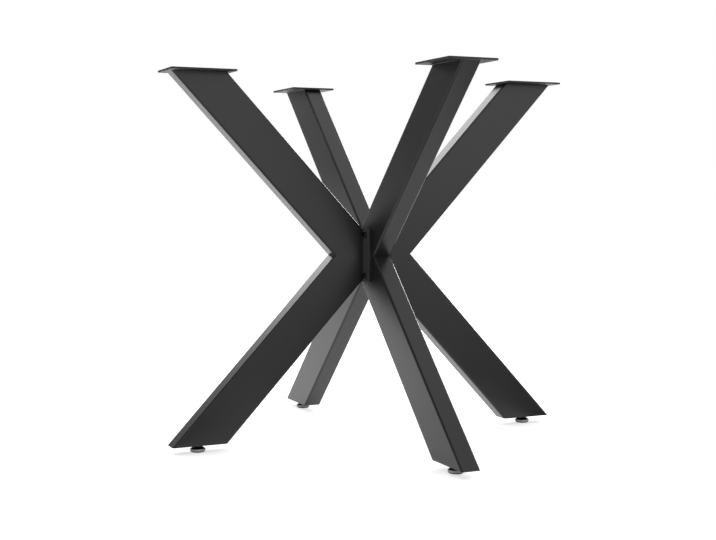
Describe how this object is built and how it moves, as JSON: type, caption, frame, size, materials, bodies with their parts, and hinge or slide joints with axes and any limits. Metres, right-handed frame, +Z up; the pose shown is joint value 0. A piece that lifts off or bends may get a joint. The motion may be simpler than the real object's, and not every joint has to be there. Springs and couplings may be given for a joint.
{
  "type": "table frame",
  "caption": "Black steel table frame: a welded X of rectangular tube with a K-shaped leg bolted to each side, screw-on plates above and levelling feet below.",
  "frame": {"origin": "on the floor, straight below the middle of the crossing", "axes": "+X to the right bolted leg, +Y to the back leg of the X, +Z up"},
  "size_m": [0.8444, 0.8392, 0.727],
  "materials": {
    "black_powder_coat": "satin powder coat",
    "black_oxide_steel": "black oxide",
    "zinc_plated_steel": "zinc plated",
    "grey_nylon": "moulded nylon"
  },
  "bodies": {
    "frame": {"x_long_tube": "black_powder_coat", "x_front_upper_tube": "black_powder_coat", "x_back_lower_tube": "black_powder_coat", "right_top_plate": "black_powder_coat", "right_foot_plate": "black_powder_coat", "right_foot_nut": "zinc_plated_steel", "back_top_plate": "black_powder_coat", "back_foot_plate": "black_powder_coat", "back_foot_nut": "zinc_plated_steel", "left_top_plate": "black_powder_coat", "left_foot_plate": "black_powder_coat", "left_foot_nut": "zinc_plated_steel", "front_top_plate": "black_powder_coat", "front_foot_plate": "black_powder_coat", "front_foot_nut": "zinc_plated_steel", "right_upper_tube": "black_powder_coat", "right_lower_tube": "black_powder_coat", "right_hub_plate": "black_powder_coat", "right_hub_screws": "black_oxide_steel", "right_rivet_nuts": "zinc_plated_steel", "left_upper_tube": "black_powder_coat", "left_lower_tube": "black_powder_coat", "left_hub_plate": "black_powder_coat", "left_hub_screws": "black_oxide_steel", "left_rivet_nuts": "zinc_plated_steel"},
    "right_foot": {"right_foot_stud": "black_oxide_steel", "right_foot_base": "grey_nylon"},
    "back_foot": {"back_foot_stud": "black_oxide_steel", "back_foot_base": "grey_nylon"},
    "left_foot": {"left_foot_stud": "black_oxide_steel", "left_foot_base": "grey_nylon"},
    "front_foot": {"front_foot_stud": "black_oxide_steel", "front_foot_base": "grey_nylon"}
  },
  "joints": [
    {"name": "right_foot_screw", "type": "slide", "parent": "frame", "child": "right_foot", "axis": [0, 0, -1], "range_m": [0, 0.012]},
    {"name": "back_foot_screw", "type": "slide", "parent": "frame", "child": "back_foot", "axis": [0, 0, -1], "range_m": [0, 0.012]},
    {"name": "left_foot_screw", "type": "slide", "parent": "frame", "child": "left_foot", "axis": [0, 0, -1], "range_m": [0, 0.012]},
    {"name": "front_foot_screw", "type": "slide", "parent": "frame", "child": "front_foot", "axis": [0, 0, -1], "range_m": [0, 0.012]}
  ]
}
